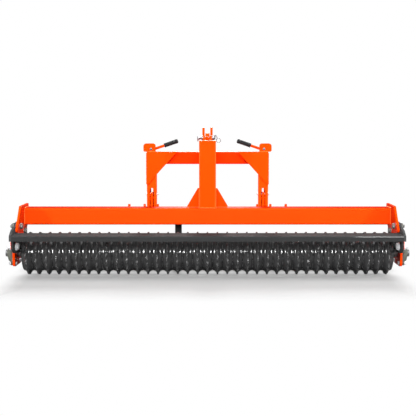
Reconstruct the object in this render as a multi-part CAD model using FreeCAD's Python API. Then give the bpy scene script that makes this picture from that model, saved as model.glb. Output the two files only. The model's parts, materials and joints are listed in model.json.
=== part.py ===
"""Three-point cultipacker: one roller of ridged cast wheels under a square beam, with its quick hitch.

Millimetres, +Z up, +X across the working width, +Y towards the tractor. While a piece is built, y is
measured from the roller's axis; `export` moves all of them so that the origin is on the floor at the
middle of the machine's box. The machine stands parked, on its roller and its lowered stand.
"""
import FreeCAD, Part
import math
import os

# Packer wheels, side by side on the axle
wheel_count = 37
wheel_pitch = 57.7
wheel_radius = 124.0
ridge_height = 24.0
tip_width = 8.0
wheel_gap = 0.4
rim_wall = 7.0
web_thickness = 10.0
hub_wall = 12.0
axle_radius = 20.0
wheel_fit = 0.3
collar_wall = 10.0
collar_running_gap = 8.6

# End stack, from the wheels outwards: arm, end plate, hanger, flange bearing
end_clearance = 18.6
arm_thickness = 12.0
end_plate_thickness = 12.0
hanger_thickness = 12.0
bearing_flange = 15.0
bearing_flange_size = 130.0
bearing_flange_corner = 24.0
bearing_hub_length = 21.0
bearing_hub_wall = 26.0
bearing_hub_inset = 4.0
bearing_ring_length = 8.0
bearing_ring_wall = 7.0
bearing_running_fit = 0.05
axle_overhang = 12.0
plate_bolt_radius = 10.0
hanger_bolt_radius = 12.0
bearing_bolt_radius = 6.0
bearing_bolt_inset = 14.0
bearing_bolt_access_radius = 14.0
bearing_bolt_recess_radius = 13.8
shaft_hole_clearance = 9.0
plate_notch_clearance = 14.0

# Main beam and mast, square tubes of one section
tube_size = 100.0
tube_wall = 6.0
tube_corner = 11.0
beam_forward = 55.0
beam_above_axle = 157.0
mast_below_top_pin = 13.0
mast_cap = 6.0
gusset_thickness = 12.0
gusset_width = 71.0
gusset_height = 115.0
gusset_toe = 8.0

# Rear bar, an open channel behind the roller
bar_behind_wheels = 86.0
bar_width = 110.0
bar_above_axle = 127.0
bar_slope_rise = 6.0
bar_lip = 29.0
bar_thickness = 8.0
bar_corner = 6.0

# Lower and top hitch points of the implement (category 1)
hitch_half_spread = 341.5
lower_pin_radius = 11.0
top_pin_radius = 9.5
lower_pin_above_beam_foot = 55.0
hitch_height = 457.0
hitch_pin_reach = 36.0
lower_pin_end_margin = 8.0
pin_head_radius = 16.0
pin_head_length = 8.0
bracket_thickness = 12.0
bracket_half_gap = 34.0
bracket_above_beam = 12.0
bracket_below_pin = 44.0
bracket_nose = 20.0
bracket_foot_rise = 6.0
bracket_shoulder = 22.0
outer_bracket_offset = 133.5
ear_thickness = 12.0
ear_half_gap = 14.0
ear_above_pin = 18.0
ear_below_pin = 46.0
ear_nose = 22.0
top_pin_left_end = 54.0
top_pin_right_end = 48.0
pin_fit = 0.3

# Quick-hitch frame
upright_width = 60.0
upright_depth = 50.0
upright_wall = 6.0
upright_corner = 8.0
upright_gap_to_pin = 21.0
upright_below_pin = 46.0
frame_above_pin = 373.0
top_bar_height = 76.0
top_bar_depth = 42.0
slot_width = 26.0
slot_above_pin = 151.0
hook_thickness = 14.0
hook_above_pin = 124.0
hook_tip = 12.0
hook_heel = 20.0
hook_throat_height = 40.0
hook_web_overlap = 4.0
hook_web_height = 8.0
hook_web_margin = 10.0
hook_tip_above_pin = 14.0
hook_front_overhang = 8.0
corner_gusset_thickness = 8.0
corner_gusset_reach = 186.5
corner_gusset_drop = 207.0
top_hook_half_width = 12.5
top_hook_above_pin = 29.0
top_hook_under_pin = 14.0
top_hook_tip = 9.0
top_hook_back = 12.0
top_hook_neck = 60.0
top_hook_front_inset = 8.0
link_ear_thickness = 14.0
link_ear_half_gap = 17.5
link_ear_height = 148.0
link_ear_reach = 62.0
link_ear_rear_inset = 6.0
link_ear_nose = 30.0
link_hole_radius = 9.75
link_hole_drop = 24.0
stud_plate_thickness = 12.0
stud_radius = 11.0
stud_length = 80.0
stud_collar_length = 4.0
stud_neck_radius = 9.5
stud_nut_length = 14.0
stud_nut_across_flats = 30.0
stud_forward = 34.0
stud_below_pin = 11.0
stud_plate_nose = 22.0
stud_plate_above_stud = 42.0
stud_plate_rear_inset = 10.0
cheek_thickness = 8.0
cheek_width = 72.0
cheek_height = 50.0
cheek_corner = 16.0
cheek_inset = 9.0
cheek_overhang = 20.0
lever_pivot_offset = 3.5
lever_pivot_above_top = 17.0
lever_pivot_radius = 8.0
lever_pivot_fit = 0.05
lever_pivot_reach = 3.0
lever_hub_radius = 12.0
lever_side_gap = 5.0
lever_radius = 8.0
lever_rise_deg = 19.0
lever_drop = 7.0
lever_start = 6.0
lever_bare_length = 89.0
grip_length = 82.0
grip_radius = 12.0
grip_end = 6.0
grip_fit = 0.2

# Parking stand
stand_x = -177.0
leg_size = 40.0
leg_wall = 5.0
leg_corner = 6.5
leg_above_sleeve = 14.0
sleeve_fit = 0.5
sleeve_wall = 6.5
sleeve_corner = 8.5
sleeve_above_beam_foot = 4.0
sleeve_height = 62.0
foot_width = 120.0
foot_depth = 100.0
foot_thickness = 12.0
foot_corner = 10.0
clamp_screw_radius = 6.0
clamp_boss_radius = 12.0
clamp_boss_length = 14.0
clamp_screw_length = 48.0
clamp_handle_radius = 5.0
clamp_handle_length = 70.0

# Hexagon bolts, as shares of the shank's radius
bolt_across_flats = 3.0
bolt_head_height = 1.25
bolt_head_overlap = 1.0
bolt_nut_height = 1.6
bolt_end = 2.1

# Outlines as (y, z, corner radius), each measured from the place that its name or comment gives
arm_above_beam = [(-80.0, 19.0, 10.0), (16.0, 19.0, 10.0)]           # beam's top rear and top front edge
arm_under_beam = [(16.0, 19.0, 30.0), (-57.0, -41.0, 25.0)]          # beam's lower front edge
arm_over_axle = [(70.0, 91.0, 20.0), (-113.0, 138.0, 12.0)]          # roller's axis
plate_at_bar = [(39.0, 28.0, 14.0)]                                  # bar's top rear edge
plate_over_axle = [(-41.0, 190.0, 18.0), (130.0, 166.0, 30.0), (191.0, 124.0, 12.0),
                   (191.0, 56.0, 20.0), (150.0, 16.0, 20.0), (-110.0, 16.0, 30.0)]
plate_bar_tab = 48.0
plate_tab_foot = 44.0
hanger_half = [(80.0, -68.0, 24.0), (80.0, 26.0, 0.0), (125.0, 41.0, 8.0), (125.0, 88.0, 12.0)]
ear_chin = (14.0, 20.0)                                              # back from the nose, up from the foot
ear_rounding = (20.0, 18.0, 11.0, 10.0)

# Places worked out from the sizes above
roller_half = wheel_count * wheel_pitch / 2
valley_radius = wheel_radius - ridge_height
rim_inner_radius = valley_radius - rim_wall
hub_radius = axle_radius + hub_wall
collar_radius = axle_radius + collar_wall
collar_length = end_clearance + arm_thickness - collar_running_gap
bearing_hub_radius = axle_radius + bearing_hub_wall
bearing_ring_radius = axle_radius + bearing_ring_wall
bearing_bolt_offset = bearing_flange_size / 2 - bearing_bolt_inset
arm_x = roller_half + end_clearance
end_plate_x = arm_x + arm_thickness
hanger_x = end_plate_x + end_plate_thickness
bearing_x = hanger_x + hanger_thickness
axle_half = bearing_x + bearing_flange + bearing_hub_length + bearing_ring_length + axle_overhang
axle_z = wheel_radius
beam_rear_y = wheel_radius - beam_forward
beam_front_y = beam_rear_y + tube_size
beam_mid_y = beam_rear_y + tube_size / 2
beam_bottom_z = axle_z + beam_above_axle
beam_top_z = beam_bottom_z + tube_size
pin_y = beam_front_y + hitch_pin_reach
lower_pin_z = beam_bottom_z + lower_pin_above_beam_foot
top_pin_z = lower_pin_z + hitch_height
mast_top_z = top_pin_z - mast_below_top_pin
outer_bracket_x = hitch_half_spread + outer_bracket_offset
upright_rear_y = pin_y + upright_gap_to_pin
upright_front_y = upright_rear_y + upright_depth
upright_outer_x = hitch_half_spread + upright_width / 2
upright_bottom_z = lower_pin_z - upright_below_pin
frame_top_z = lower_pin_z + frame_above_pin
slot_top_z = lower_pin_z + slot_above_pin
hook_top_z = lower_pin_z + hook_above_pin
link_ear_top_z = frame_top_z + link_ear_height
stud_y = upright_front_y + stud_forward
stud_z = lower_pin_z - stud_below_pin
bar_rear_y = -wheel_radius - bar_behind_wheels
bar_front_y = bar_rear_y + bar_width
bar_rear_top_z = axle_z + bar_above_axle
bar_front_top_z = bar_rear_top_z + bar_slope_rise
sleeve_bottom_z = beam_bottom_z + sleeve_above_beam_foot
leg_length = sleeve_bottom_z + sleeve_height + leg_above_sleeve - foot_thickness
sleeve_size = leg_size + 2 * (sleeve_fit + sleeve_wall)
leg_y = beam_front_y + sleeve_size / 2
lever_pivot_x = hitch_half_spread + lever_pivot_offset
lever_pivot_z = frame_top_z + lever_pivot_above_top
lever_y = (upright_rear_y + upright_front_y) / 2
machine_front_y = upright_front_y + link_ear_reach
origin_y = (bar_rear_y + machine_front_y) / 2

# Bolt places on the end stack, as (y, z)
arm_bolts = [(-28.0, axle_z + 162.0), (63.0, axle_z + 124.0)]
hanger_bolts = [(-95.0, axle_z + 54.0), (95.0, axle_z + 54.0)]
bearing_bolts = [
    (side_y * bearing_bolt_offset, axle_z + side_z * bearing_bolt_offset)
    for side_y in (-1, 1) for side_z in (-1, 1)
]


def in_yz(x):
    """Places outline points (y, z) in the plane at x."""
    return lambda u, v: FreeCAD.Vector(x, u, v)


def in_xz(y):
    """Places outline points (x, z) in the plane at y."""
    return lambda u, v: FreeCAD.Vector(u, y, v)


def in_xy(z):
    """Places outline points (x, y) in the plane at z."""
    return lambda u, v: FreeCAD.Vector(u, v, z)


def rounded_face(corners, place):
    """Flat face through corners (u, v, radius), each corner rounded by its own radius."""
    points = [place(u, v) for u, v, _ in corners]
    edges = []
    first = last = None
    for index, (point, corner) in enumerate(zip(points, corners)):
        radius = corner[2]
        back = (points[index - 1] - point).normalize()
        ahead = (points[(index + 1) % len(points)] - point).normalize()
        if radius > 0:
            half = back.getAngle(ahead) / 2
            reach = radius / math.tan(half)
            start = point + back * reach
            end = point + ahead * reach
            middle = point + (back + ahead).normalize() * (radius / math.sin(half) - radius)
        else:
            start = end = point
        if last is not None and last.distanceToPoint(start) > 1e-6:
            edges.append(Part.LineSegment(last, start).toShape())
        if radius > 0:
            edges.append(Part.Arc(start, middle, end).toShape())
        if first is None:
            first = start
        last = end
    if last.distanceToPoint(first) > 1e-6:
        edges.append(Part.LineSegment(last, first).toShape())
    return Part.Face(Part.Wire(edges))


def from_place(corners, y, z):
    """Outline corners moved so that they are measured from (y, z)."""
    return [(y + u, z + v, radius) for u, v, radius in corners]


def plate_yz(corners, x, thickness):
    """Plate that lies in a y-z plane, from x outwards by its thickness."""
    return rounded_face(corners, in_yz(x)).extrude(FreeCAD.Vector(thickness, 0, 0))


def plate_xz(corners, y, thickness):
    """Plate that lies in an x-z plane, from y forwards by its thickness."""
    return rounded_face(corners, in_xz(y)).extrude(FreeCAD.Vector(0, thickness, 0))


def block(x, y, z):
    """Box between the two numbers of each pair."""
    corner = FreeCAD.Vector(x[0], y[0], z[0])
    return Part.makeBox(x[1] - x[0], y[1] - y[0], z[1] - z[0], corner)


def rod(start, end, radius):
    """Round bar between two points (x, y, z)."""
    along = FreeCAD.Vector(*end) - FreeCAD.Vector(*start)
    return Part.makeCylinder(radius, along.Length, FreeCAD.Vector(*start), along)


def hex_bar(start, end, across_flats):
    """Hexagonal bar along x between two points."""
    corner_radius = across_flats / math.sqrt(3)
    corners = [
        (start[1] + corner_radius * math.cos(math.radians(60 * n)),
         start[2] + corner_radius * math.sin(math.radians(60 * n)), 0)
        for n in range(6)
    ]
    return plate_yz(corners, start[0], end[0] - start[0])


def rectangle(u, v, radius):
    """Corners of a rounded rectangle between the two numbers of each pair."""
    return [(u[0], v[0], radius), (u[1], v[0], radius), (u[1], v[1], radius), (u[0], v[1], radius)]


def tube(outer, wall, corner, place, along):
    """Rectangular tube: outer is its section, as two pairs, and along its length vector."""
    (u0, u1), (v0, v1) = outer
    outside = rounded_face(rectangle((u0, u1), (v0, v1), corner), place).extrude(along)
    inner = rectangle((u0 + wall, u1 - wall), (v0 + wall, v1 - wall), corner - wall)
    return outside.cut(rounded_face(inner, place).extrude(along))


def mirrored(shape):
    """The same shape on the other end of the machine."""
    return shape.mirror(FreeCAD.Vector(0, 0, 0), FreeCAD.Vector(1, 0, 0))


def bolt(head_x, nut_x, place, radius):
    """Hexagon bolt along x at place (y, z): its head's seat is at head_x, its nut's at nut_x."""
    y, z = place
    across = radius * bolt_across_flats
    head = hex_bar((head_x - radius * bolt_head_height, y, z), (head_x, y, z), across)
    nut = hex_bar((nut_x, y, z), (nut_x + radius * bolt_nut_height, y, z), across)
    shank = rod((head_x - radius * bolt_head_overlap, y, z), (nut_x + radius * bolt_end, y, z), radius)
    return head.fuse(shank).fuse(nut).removeSplitter()


# Roller

def wheel(x):
    """One cast wheel at x: a rim with its ridge between two hollow flanks, a web and a hub."""
    half = (wheel_pitch - wheel_gap) / 2
    tip = tip_width / 2
    reach = wheel_pitch / 2 - tip
    depth = wheel_radius - valley_radius
    arc_radius = (reach ** 2 + depth ** 2) / (2 * depth)
    bore = axle_radius + wheel_fit

    def at(along, radius):
        return FreeCAD.Vector(along, 0, radius)

    def flank(along):
        """Radius of the hollow flank at a distance along the axle from the ridge."""
        from_joint = wheel_pitch / 2 - along
        return valley_radius + arc_radius - math.sqrt(arc_radius ** 2 - from_joint ** 2)

    half_web = web_thickness / 2
    side = [at(half, flank(half)), at(half, rim_inner_radius), at(half_web, rim_inner_radius),
            at(half_web, hub_radius), at(half, hub_radius), at(half, bore)]
    edges = []
    for sign in (1, -1):
        points = [FreeCAD.Vector(sign * point.x, 0, point.z) for point in side]
        edges += [Part.LineSegment(a, b).toShape() for a, b in zip(points, points[1:])]
        middle = (tip + half) / 2
        edges.append(Part.Arc(at(sign * tip, wheel_radius), at(sign * middle, flank(middle)),
                              at(sign * half, flank(half))).toShape())
    edges.append(Part.LineSegment(at(-tip, wheel_radius), at(tip, wheel_radius)).toShape())
    edges.append(Part.LineSegment(at(-half, bore), at(half, bore)).toShape())
    section = Part.Face(Part.Wire(Part.__sortEdges__(edges)))
    body = section.revolve(FreeCAD.Vector(0, 0, 0), FreeCAD.Vector(1, 0, 0), 360)
    return body.translated(FreeCAD.Vector(x, 0, axle_z))


def packer_wheels():
    return [wheel((index - (wheel_count - 1) / 2) * wheel_pitch) for index in range(wheel_count)]


def axle():
    return [rod((-axle_half, 0, axle_z), (axle_half, 0, axle_z), axle_radius)]


def end_collars():
    """Collars that hold the row of wheels together on the axle."""
    shapes = []
    for side in (-1, 1):
        inner, outer = side * roller_half, side * (roller_half + collar_length)
        ring = rod((inner, 0, axle_z), (outer, 0, axle_z), collar_radius)
        bore = rod((inner, 0, axle_z), (outer, 0, axle_z), axle_radius + wheel_fit)
        shapes.append(ring.cut(bore))
    return shapes


# End stack, built for the +X end and mirrored

def drilled(plate, x, thickness, places, radius):
    """The plate with a round hole through it at each place (y, z)."""
    for y, z in places:
        plate = plate.cut(rod((x, y, z), (x + thickness, y, z), radius))
    return plate


def end_arm():
    rear_ear, front_ear = arm_above_beam
    outline = (from_place([rear_ear], beam_rear_y, beam_top_z)
               + from_place([front_ear], beam_front_y, beam_top_z)
               + from_place(arm_under_beam, beam_front_y, beam_bottom_z)
               + from_place(arm_over_axle, 0, axle_z))
    return drilled(plate_yz(outline, arm_x, arm_thickness), arm_x, arm_thickness, arm_bolts,
                   plate_bolt_radius)


def end_plate():
    """Side plate of the roller's frame: it meets the rear bar's end and is notched over the axle."""
    bar_bottom_z = bar_rear_top_z - bar_lip
    tab_y = bar_rear_y + plate_bar_tab
    outline = ([(tab_y, axle_z + plate_tab_foot, 18), (tab_y, bar_bottom_z, 0),
                (bar_rear_y, bar_bottom_z, 3), (bar_rear_y, bar_rear_top_z + 2, 6)]
               + from_place(plate_at_bar, bar_rear_y, bar_rear_top_z)
               + from_place(plate_over_axle, 0, axle_z))
    plate = plate_yz(outline, end_plate_x, end_plate_thickness)
    plate = drilled(plate, end_plate_x, end_plate_thickness, arm_bolts, plate_bolt_radius)
    plate = drilled(plate, end_plate_x, end_plate_thickness, hanger_bolts, hanger_bolt_radius)
    upper_bolts = [place for place in bearing_bolts if place[1] > axle_z]
    plate = drilled(plate, end_plate_x, end_plate_thickness, upper_bolts, bearing_bolt_access_radius)
    return drilled(plate, end_plate_x, end_plate_thickness, [(0, axle_z)],
                   axle_radius + plate_notch_clearance)


def bearing_hanger():
    other_half = [(-y, z, radius) for y, z, radius in reversed(hanger_half)]
    outline = from_place(hanger_half + other_half, 0, axle_z)
    plate = plate_yz(outline, hanger_x, hanger_thickness)
    plate = drilled(plate, hanger_x, hanger_thickness, hanger_bolts, hanger_bolt_radius)
    plate = drilled(plate, hanger_x, hanger_thickness, bearing_bolts, bearing_bolt_radius)
    return drilled(plate, hanger_x, hanger_thickness, [(0, axle_z)],
                   axle_radius + shaft_hole_clearance)


def flange_bearing():
    """Square flange housing with its domed hub and the inner ring around the axle."""
    half = bearing_flange_size / 2
    face = rectangle((-half, half), (axle_z - half, axle_z + half), bearing_flange_corner)
    flange = plate_yz(face, bearing_x, bearing_flange)
    hub_x = bearing_x + bearing_flange
    ring_x = hub_x + bearing_hub_length
    along = FreeCAD.Vector(1, 0, 0)
    hub = Part.makeCone(half - bearing_hub_inset, bearing_hub_radius, bearing_hub_length,
                        FreeCAD.Vector(hub_x, 0, axle_z), along)
    ring = rod((ring_x, 0, axle_z), (ring_x + bearing_ring_length, 0, axle_z), bearing_ring_radius)
    housing = flange.fuse(hub).fuse(ring)
    for y, z in bearing_bolts:
        recess = rod((hub_x, y, z), (ring_x, y, z), bearing_bolt_recess_radius)
        hole = rod((bearing_x, y, z), (ring_x, y, z), bearing_bolt_radius)
        housing = housing.cut(recess).cut(hole)
    bore = rod((bearing_x, 0, axle_z), (ring_x + bearing_ring_length, 0, axle_z),
               axle_radius + bearing_running_fit)
    return housing.cut(bore).removeSplitter()


def end_bolts():
    """Bolts of the +X end: arm to end plate, end plate to hanger, hanger to bearing."""
    through_plate = [bolt(arm_x, hanger_x, place, plate_bolt_radius) for place in arm_bolts]
    through_hanger = [bolt(end_plate_x, bearing_x, place, hanger_bolt_radius)
                      for place in hanger_bolts]
    through_bearing = [bolt(hanger_x, bearing_x + bearing_flange, place, bearing_bolt_radius)
                       for place in bearing_bolts]
    return through_plate, through_hanger, through_bearing


def rear_bar():
    """Channel with its lips down; its top slopes to the rear."""
    slope = bar_slope_rise / bar_width
    lip_z = bar_rear_top_z - bar_lip
    under = bar_thickness
    outline = [
        (bar_rear_y, lip_z, 0), (bar_rear_y, bar_rear_top_z, bar_corner),
        (bar_front_y, bar_front_top_z, bar_corner), (bar_front_y, lip_z + bar_slope_rise, 0),
        (bar_front_y - under, lip_z + bar_slope_rise, 0),
        (bar_front_y - under, bar_front_top_z - under - slope * under, 0),
        (bar_rear_y + under, bar_rear_top_z - under + slope * under, 0),
        (bar_rear_y + under, lip_z, 0),
    ]
    return [plate_yz(outline, -end_plate_x, 2 * end_plate_x)]


# Beam and mast

def main_beam():
    section = ((beam_rear_y, beam_front_y), (beam_bottom_z, beam_top_z))
    return [tube(section, tube_wall, tube_corner, in_yz(-arm_x), FreeCAD.Vector(2 * arm_x, 0, 0))]


def mast():
    half = tube_size / 2
    section = ((-half, half), (beam_rear_y, beam_front_y))
    pipe = tube(section, tube_wall, tube_corner, in_xy(beam_top_z),
                FreeCAD.Vector(0, 0, mast_top_z - mast_cap - beam_top_z))
    cap_face = rounded_face(rectangle(section[0], section[1], tube_corner),
                            in_xy(mast_top_z - mast_cap))
    return [pipe.fuse(cap_face.extrude(FreeCAD.Vector(0, 0, mast_cap))).removeSplitter()]


def mast_gusset():
    foot_x = tube_size / 2
    outline = [(foot_x, beam_top_z, 0), (foot_x + gusset_width, beam_top_z, 0),
               (foot_x + gusset_width, beam_top_z + gusset_toe, 0),
               (foot_x + gusset_toe, beam_top_z + gusset_height, 0),
               (foot_x, beam_top_z + gusset_height, 0)]
    return plate_xz(outline, beam_mid_y - gusset_thickness / 2, gusset_thickness)


# Hitch points of the implement

def mast_ears():
    """Two ears on the mast's front that hold the top pin."""
    low, high = top_pin_z - ear_below_pin, top_pin_z + ear_above_pin
    front = pin_y + ear_nose
    chin_back, chin_rise = ear_chin
    chin, nose, brow, crown = ear_rounding
    outline = [(beam_front_y, low, 0), (front - chin_back, low + chin_rise, chin),
               (front, top_pin_z, nose), (front, high, brow), (pin_y - chin_back, high, crown),
               (beam_front_y, mast_top_z, 0)]
    hole = [(pin_y, top_pin_z)]
    ear = drilled(plate_yz(outline, ear_half_gap, ear_thickness), ear_half_gap, ear_thickness,
                  hole, top_pin_radius)
    return [mirrored(ear), ear]


def top_pin():
    bar = rod((-top_pin_left_end, pin_y, top_pin_z), (top_pin_right_end, pin_y, top_pin_z),
              top_pin_radius)
    head = rod((-top_pin_left_end - pin_head_length, pin_y, top_pin_z),
               (-top_pin_left_end, pin_y, top_pin_z), pin_head_radius)
    return [bar.fuse(head).removeSplitter()]


def bracket_plate(x):
    """One plate of the lower hitch bracket, welded to the beam's front face."""
    low, high = lower_pin_z - bracket_below_pin, beam_top_z + bracket_above_beam
    front = pin_y + bracket_nose
    outline = [(beam_front_y, low, 0), (pin_y + 8, low + bracket_foot_rise, 14),
               (front, lower_pin_z, bracket_nose), (pin_y + 12, high - bracket_shoulder, 16),
               (pin_y - 12, high, 8), (beam_front_y, high, 0)]
    return drilled(plate_yz(outline, x, bracket_thickness), x, bracket_thickness,
                   [(pin_y, lower_pin_z)], lower_pin_radius)


def lower_bracket():
    inner = hitch_half_spread - bracket_half_gap - bracket_thickness
    outer = hitch_half_spread + bracket_half_gap
    return [bracket_plate(x) for x in (inner, outer, outer_bracket_x - bracket_thickness / 2)]


def lower_pin():
    start = hitch_half_spread - bracket_half_gap - bracket_thickness - lower_pin_end_margin
    end = outer_bracket_x + bracket_thickness / 2 + lower_pin_end_margin
    bar = rod((start, pin_y, lower_pin_z), (end, pin_y, lower_pin_z), lower_pin_radius)
    head = rod((end, pin_y, lower_pin_z), (end + pin_head_length, pin_y, lower_pin_z),
               pin_head_radius)
    return bar.fuse(head).removeSplitter()


# Quick-hitch frame

def hitch_upright():
    """Rectangular tube, slotted from its foot for the hook plate."""
    half = upright_width / 2
    section = ((hitch_half_spread - half, hitch_half_spread + half),
               (upright_rear_y, upright_front_y))
    pipe = tube(section, upright_wall, upright_corner, in_xy(upright_bottom_z),
                FreeCAD.Vector(0, 0, frame_top_z - upright_bottom_z))
    half_slot = slot_width / 2
    left, right = hitch_half_spread - half_slot, hitch_half_spread + half_slot
    slot_outline = [(left, upright_bottom_z, 0), (right, upright_bottom_z, 0),
                    (right, slot_top_z, half_slot * 0.98), (left, slot_top_z, half_slot * 0.98)]
    return pipe.cut(plate_xz(slot_outline, upright_rear_y, upright_depth))


def seat_cut(x, thickness, y, z, radius, top_z):
    """Upward-open round-bottomed throat for a pin at (y, z)."""
    channel = block((x, x + thickness), (y - radius, y + radius), (z, top_z))
    return rod((x, y, z), (x + thickness, y, z), radius).fuse(channel)


def hook_webs(inner_x):
    """Small plates that tie the hook plate to the upright's side walls, inside the slot."""
    reach = (slot_width - hook_thickness) / 2 + hook_web_overlap
    depth = (upright_rear_y + hook_web_margin, upright_front_y - hook_web_margin)
    shapes = []
    for z in (upright_bottom_z + upright_wall, hook_top_z - hook_throat_height):
        for x in (inner_x - reach, inner_x + hook_thickness):
            shapes.append(block((x, x + reach), depth, (z, z + hook_web_height)))
    return shapes


def hitch_hook():
    """Hook plate in the upright's slot; its throat carries the lower pin."""
    x = hitch_half_spread - hook_thickness / 2
    throat = lower_pin_radius + pin_fit
    tip_z = lower_pin_z + hook_tip_above_pin
    tip_y = pin_y - throat - hook_tip
    front = upright_front_y + hook_front_overhang
    outline = [(tip_y, tip_z, 5), (tip_y, upright_bottom_z + hook_heel, 14),
               (tip_y + hook_heel, upright_bottom_z, 14), (front, upright_bottom_z, 10),
               (front, hook_top_z, 10), (upright_rear_y, hook_top_z, 0),
               (upright_rear_y, tip_z + hook_throat_height, 6), (pin_y + throat, tip_z, 0)]
    plate = plate_yz(outline, x, hook_thickness)
    plate = plate.cut(seat_cut(x, hook_thickness, pin_y, lower_pin_z, throat, tip_z + 1))
    for web in hook_webs(x):
        plate = plate.fuse(web)
    return plate.removeSplitter()


def hitch_top_bar():
    half = hitch_half_spread - upright_width / 2
    section = ((upright_front_y - top_bar_depth, upright_front_y),
               (frame_top_z - top_bar_height, frame_top_z))
    return [tube(section, upright_wall, upright_corner, in_yz(-half), FreeCAD.Vector(2 * half, 0, 0))]


def corner_gusset():
    """Triangular plate on the rear faces of an upright and of the top bar's end."""
    outline = [(upright_outer_x, frame_top_z, 6),
               (upright_outer_x, frame_top_z - corner_gusset_drop, 3),
               (upright_outer_x - corner_gusset_reach, frame_top_z, 3)]
    return plate_xz(outline, upright_rear_y - corner_gusset_thickness, corner_gusset_thickness)


def top_hook():
    """Plate on the top bar whose upward-open throat carries the top pin."""
    throat = top_pin_radius + pin_fit
    rear, front = upright_front_y - top_bar_depth, upright_front_y - top_hook_front_inset
    tip_y, tip_z = pin_y - throat - top_hook_tip, top_pin_z + top_hook_tip
    crown_z = top_pin_z + top_hook_above_pin
    outline = [(front, frame_top_z, 0), (front, crown_z, 12), (pin_y + throat + top_hook_back, crown_z, 6),
               (pin_y + throat, tip_z, 0), (tip_y, tip_z, 4), (tip_y, top_pin_z - throat, 6),
               (pin_y - 4, top_pin_z - throat - top_hook_under_pin, 12),
               (rear, top_pin_z - top_hook_neck, 20), (rear, frame_top_z, 0)]
    width = 2 * top_hook_half_width
    plate = plate_yz(outline, -top_hook_half_width, width)
    return [plate.cut(seat_cut(-top_hook_half_width, width, pin_y, top_pin_z, throat, tip_z + 1))]


def link_ears():
    """Two ears on the frame's top bar for the tractor's top link."""
    rear, front = upright_front_y - top_bar_depth + link_ear_rear_inset, machine_front_y
    hole_z = link_ear_top_z - link_hole_drop
    outline = [(rear, frame_top_z, 0), (upright_front_y, frame_top_z, 0),
               (front, hole_z - link_ear_nose, 24), (front, link_ear_top_z, 18),
               (rear, link_ear_top_z, 8)]
    ear = drilled(plate_yz(outline, link_ear_half_gap, link_ear_thickness), link_ear_half_gap,
                  link_ear_thickness, [(front - link_hole_drop, hole_z)], link_hole_radius)
    return [mirrored(ear), ear]


def stud_plate():
    """Plate on the outer side of an upright that carries the lower link stud."""
    rear, front = upright_rear_y + stud_plate_rear_inset, stud_y + stud_plate_nose
    top_z = stud_z + stud_plate_above_stud
    outline = [(rear, upright_bottom_z, 8), (front, upright_bottom_z, 18),
               (front, stud_z + stud_plate_nose + 2, 18), (upright_front_y, top_z, 12), (rear, top_z, 8)]
    plate = plate_yz(outline, upright_outer_x, stud_plate_thickness)
    return drilled(plate, upright_outer_x, stud_plate_thickness, [(stud_y, stud_z)], stud_neck_radius)


def link_stud():
    """Stud for a lower link's ball, with its collar, its neck through the plate and its nut."""
    collar_x = upright_outer_x + stud_plate_thickness
    stud_x = collar_x + stud_collar_length

    def along_x(start, end, radius):
        return rod((start, stud_y, stud_z), (end, stud_y, stud_z), radius)

    nut = hex_bar((upright_outer_x - stud_nut_length, stud_y, stud_z), (upright_outer_x, stud_y, stud_z),
                  stud_nut_across_flats)
    neck = along_x(upright_outer_x, collar_x, stud_neck_radius)
    collar = along_x(collar_x, stud_x, pin_head_radius)
    return nut.fuse(neck).fuse(collar).fuse(along_x(stud_x, stud_x + stud_length, stud_radius))


def lever_cheeks():
    """Front and rear cheek on an upright's top, with the lever's hub between them."""
    left = upright_outer_x + cheek_overhang - cheek_width
    outline = [(left, frame_top_z, 4), (left + cheek_width, frame_top_z, 10),
               (left + cheek_width, frame_top_z + cheek_height, cheek_corner),
               (left, frame_top_z + cheek_height, cheek_corner)]
    cheeks = []
    for y in (upright_rear_y + cheek_inset - cheek_thickness,
              upright_front_y - cheek_inset):
        plate = plate_xz(outline, y, cheek_thickness)
        hole = rod((lever_pivot_x, y, lever_pivot_z), (lever_pivot_x, y + cheek_thickness, lever_pivot_z),
                   lever_pivot_radius)
        cheeks.append(plate.cut(hole))
    return cheeks


def lever_pivot():
    start = upright_rear_y + cheek_inset - cheek_thickness - lever_pivot_reach
    end = upright_front_y - cheek_inset + cheek_thickness + lever_pivot_reach
    return rod((lever_pivot_x, start, lever_pivot_z), (lever_pivot_x, end, lever_pivot_z),
               lever_pivot_radius)


def lever_point(distance):
    """Point on the lever's line, which passes a little below its pivot."""
    rise = math.radians(lever_rise_deg)
    return (lever_pivot_x - distance * math.cos(rise) - lever_drop * math.sin(rise), lever_y,
            lever_pivot_z + distance * math.sin(rise) - lever_drop * math.cos(rise))


def hitch_lever():
    """Hand lever: a hub on the pivot and a round bar that runs inwards and up."""
    hub_start = upright_rear_y + cheek_inset + lever_side_gap
    hub_end = upright_front_y - cheek_inset - lever_side_gap
    hub = rod((lever_pivot_x, hub_start, lever_pivot_z), (lever_pivot_x, hub_end, lever_pivot_z),
              lever_hub_radius)
    bar = rod(lever_point(lever_start), lever_point(lever_bare_length + grip_length - grip_end),
              lever_radius)
    bore = rod((lever_pivot_x, hub_start, lever_pivot_z), (lever_pivot_x, hub_end, lever_pivot_z),
               lever_pivot_radius + lever_pivot_fit)
    return hub.fuse(bar).cut(bore).removeSplitter()


def lever_grip():
    """Closed sleeve pushed over the lever's end."""
    sleeve = rod(lever_point(lever_bare_length), lever_point(lever_bare_length + grip_length),
                 grip_radius)
    hollow = rod(lever_point(lever_bare_length),
                 lever_point(lever_bare_length + grip_length - grip_end + grip_fit),
                 lever_radius + grip_fit)
    return sleeve.cut(hollow)


# Parking stand

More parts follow.
